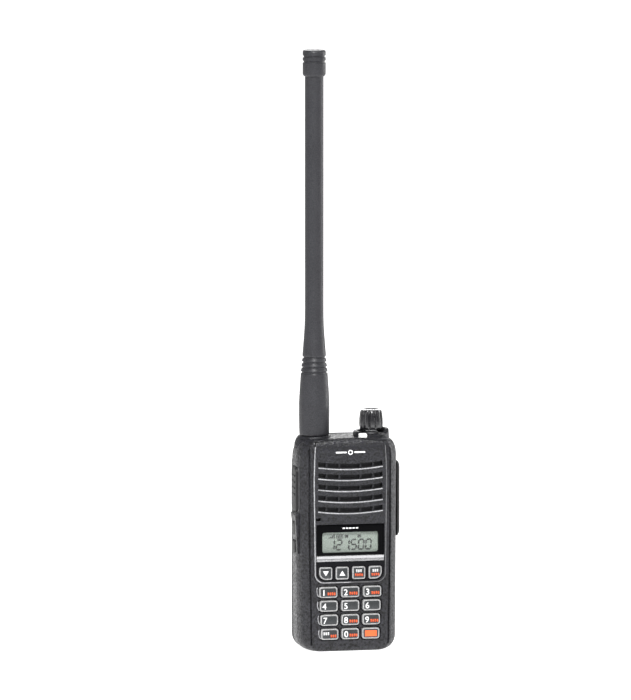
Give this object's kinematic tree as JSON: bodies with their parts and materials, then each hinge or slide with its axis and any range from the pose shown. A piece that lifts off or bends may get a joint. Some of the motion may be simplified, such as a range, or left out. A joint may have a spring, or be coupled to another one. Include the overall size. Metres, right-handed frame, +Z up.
{
  "type": "handheld aviation radio",
  "caption": "Handheld airband transceiver with a long rubber antenna, volume knob, speaker grille, display, keypad, side talk button and rear battery pack with belt clip.",
  "frame": {"origin": "centre of the bounding box in plan, on the plane of the radio's base", "axes": "-Y out of the front panel, +X to the right seen from the front, +Z up along the antenna"},
  "size_m": [0.0562, 0.0414, 0.3133],
  "materials": {
    "case_plastic": "moulded, fine texture",
    "bezel_plastic": "moulded, satin",
    "gloss_black": "polished",
    "clear_window": "clear, polished",
    "lcd_glass": "grey-green liquid crystal",
    "silver_trim": "satin plated",
    "key_rubber": "moulded, satin",
    "side_rubber": "moulded, matte",
    "antenna_rubber": "moulded, satin",
    "board": "green solder mask",
    "steel": "plain",
    "cast_metal": "die cast",
    "nickel": "nickel plated",
    "lamp": "milky clear",
    "cell_wrap": "shrink sleeve",
    "gasket_rubber": "soft, matte"
  },
  "bodies": {
    "radio": {"front_case": "case_plastic", "front_bezel": "bezel_plastic", "display_frame": "gloss_black", "display_lens": "clear_window", "trim_bar": "silver_trim", "function_key_frame": "gloss_black", "rear_chassis": "cast_metal", "case_gasket": "gasket_rubber", "transmit_lamp_lens": "lamp", "chassis_screw_left": "steel", "chassis_screw_right": "steel", "lcd_module": "lcd_glass", "keypad_mat": "gasket_rubber", "key_board": "board", "main_board": "board", "rf_shield": "steel", "speaker_membrane": "gasket_rubber", "side_switch_board": "board", "terminal_block": "nickel", "speaker": "cast_metal", "microphone": "nickel", "jack_socket_upper": "nickel", "jack_socket_lower": "nickel", "volume_control": "cast_metal", "antenna_socket": "nickel"},
    "talk_button_body": {"talk_button": "side_rubber"},
    "upper_side_key_body": {"side_key_upper": "side_rubber"},
    "lower_side_key_body": {"side_key_lower": "side_rubber"},
    "jack_cover_body": {"jack_cover": "case_plastic", "jack_cover_screw": "steel"},
    "knob_body": {"volume_shaft": "steel", "volume_knob": "bezel_plastic"},
    "antenna_plug_body": {"antenna_plug": "nickel"},
    "antenna_body": {"antenna_sleeve": "antenna_rubber", "antenna_cap": "antenna_rubber"},
    "battery_body": {"battery_case": "case_plastic", "battery_cover": "case_plastic", "battery_cell_left": "cell_wrap", "battery_cell_right": "cell_wrap", "clip_base": "case_plastic", "clip_pin": "steel"},
    "latch_body": {"battery_latch": "side_rubber"},
    "clip_lever_body": {"clip_lever": "case_plastic"},
    "number_key_1_body": {"number_key_1": "key_rubber"},
    "number_key_2_body": {"number_key_2": "key_rubber"},
    "number_key_3_body": {"number_key_3": "key_rubber"},
    "number_key_4_body": {"number_key_4": "key_rubber"},
    "number_key_5_body": {"number_key_5": "key_rubber"},
    "number_key_6_body": {"number_key_6": "key_rubber"},
    "number_key_7_body": {"number_key_7": "key_rubber"},
    "number_key_8_body": {"number_key_8": "key_rubber"},
    "number_key_9_body": {"number_key_9": "key_rubber"},
    "key_enter_body": {"key_enter": "key_rubber"},
    "number_key_0_body": {"number_key_0": "key_rubber"},
    "key_function_body": {"key_function": "key_rubber"},
    "key_down_arrow_body": {"key_down_arrow": "key_rubber"},
    "key_up_arrow_body": {"key_up_arrow": "key_rubber"},
    "key_menu_body": {"key_menu": "key_rubber"},
    "key_clear_body": {"key_clear": "key_rubber"}
  },
  "joints": [
    {"name": "key_down_arrow_press", "type": "slide", "parent": "radio", "child": "key_down_arrow_body", "axis": [0, 1, 0], "range_m": [0, 0.0005], "stiffness_N_per_m": 1200},
    {"name": "key_up_arrow_press", "type": "slide", "parent": "radio", "child": "key_up_arrow_body", "axis": [0, 1, 0], "range_m": [0, 0.0005], "stiffness_N_per_m": 1200},
    {"name": "key_menu_press", "type": "slide", "parent": "radio", "child": "key_menu_body", "axis": [0, 1, 0], "range_m": [0, 0.0005], "stiffness_N_per_m": 1200},
    {"name": "key_clear_press", "type": "slide", "parent": "radio", "child": "key_clear_body", "axis": [0, 1, 0], "range_m": [0, 0.0005], "stiffness_N_per_m": 1200},
    {"name": "number_key_1_press", "type": "slide", "parent": "radio", "child": "number_key_1_body", "axis": [0, 1, 0], "range_m": [0, 0.0005], "stiffness_N_per_m": 1200},
    {"name": "number_key_2_press", "type": "slide", "parent": "radio", "child": "number_key_2_body", "axis": [0, 1, 0], "range_m": [0, 0.0005], "stiffness_N_per_m": 1200},
    {"name": "number_key_3_press", "type": "slide", "parent": "radio", "child": "number_key_3_body", "axis": [0, 1, 0], "range_m": [0, 0.0005], "stiffness_N_per_m": 1200},
    {"name": "number_key_4_press", "type": "slide", "parent": "radio", "child": "number_key_4_body", "axis": [0, 1, 0], "range_m": [0, 0.0005], "stiffness_N_per_m": 1200},
    {"name": "number_key_5_press", "type": "slide", "parent": "radio", "child": "number_key_5_body", "axis": [0, 1, 0], "range_m": [0, 0.0005], "stiffness_N_per_m": 1200},
    {"name": "number_key_6_press", "type": "slide", "parent": "radio", "child": "number_key_6_body", "axis": [0, 1, 0], "range_m": [0, 0.0005], "stiffness_N_per_m": 1200},
    {"name": "number_key_7_press", "type": "slide", "parent": "radio", "child": "number_key_7_body", "axis": [0, 1, 0], "range_m": [0, 0.0005], "stiffness_N_per_m": 1200},
    {"name": "number_key_8_press", "type": "slide", "parent": "radio", "child": "number_key_8_body", "axis": [0, 1, 0], "range_m": [0, 0.0005], "stiffness_N_per_m": 1200},
    {"name": "number_key_9_press", "type": "slide", "parent": "radio", "child": "number_key_9_body", "axis": [0, 1, 0], "range_m": [0, 0.0005], "stiffness_N_per_m": 1200},
    {"name": "key_enter_press", "type": "slide", "parent": "radio", "child": "key_enter_body", "axis": [0, 1, 0], "range_m": [0, 0.0005], "stiffness_N_per_m": 1200},
    {"name": "number_key_0_press", "type": "slide", "parent": "radio", "child": "number_key_0_body", "axis": [0, 1, 0], "range_m": [0, 0.0005], "stiffness_N_per_m": 1200},
    {"name": "key_function_press", "type": "slide", "parent": "radio", "child": "key_function_body", "axis": [0, 1, 0], "range_m": [0, 0.0005], "stiffness_N_per_m": 1200},
    {"name": "talk_button_press", "type": "slide", "parent": "radio", "child": "talk_button_body", "axis": [1, 0, 0], "range_m": [0, 0.001], "stiffness_N_per_m": 1500},
    {"name": "side_key_upper_press", "type": "slide", "parent": "radio", "child": "upper_side_key_body", "axis": [1, 0, 0], "range_m": [0, 0.0006], "stiffness_N_per_m": 1500},
    {"name": "side_key_lower_press", "type": "slide", "parent": "radio", "child": "lower_side_key_body", "axis": [1, 0, 0], "range_m": [0, 0.0006], "stiffness_N_per_m": 1500},
    {"name": "volume_turn", "type": "hinge", "parent": "radio", "child": "knob_body", "pos_m": [0.0139, -0.0052, 0.115], "axis": [0, 0, 1], "range_deg": [-270, 0]},
    {"name": "jack_cover_pull", "type": "slide", "parent": "radio", "child": "jack_cover_body", "axis": [1, 0, 0], "range_m": [0, 0.012]},
    {"name": "antenna_lift", "type": "slide", "parent": "radio", "child": "antenna_plug_body", "axis": [0, 0, 1], "range_m": [0, 0.02]},
    {"name": "antenna_turn", "type": "hinge", "parent": "antenna_plug_body", "child": "antenna_body", "pos_m": [-0.01635, -0.0052, 0.113], "axis": [0, 0, 1], "range_deg": [0, 90]},
    {"name": "battery_pull", "type": "slide", "parent": "radio", "child": "battery_body", "axis": [0, 1, 0], "range_m": [0, 0.02]},
    {"name": "latch_push", "type": "slide", "parent": "battery_body", "child": "latch_body", "axis": [0, 0, 1], "range_m": [0, 0.002], "stiffness_N_per_m": 600},
    {"name": "clip_open", "type": "hinge", "parent": "battery_body", "child": "clip_lever_body", "pos_m": [-0.0003, 0.0179, 0.0885], "axis": [1, 0, 0], "range_deg": [0, 15], "stiffness_Nm_per_rad": 0.4}
  ]
}
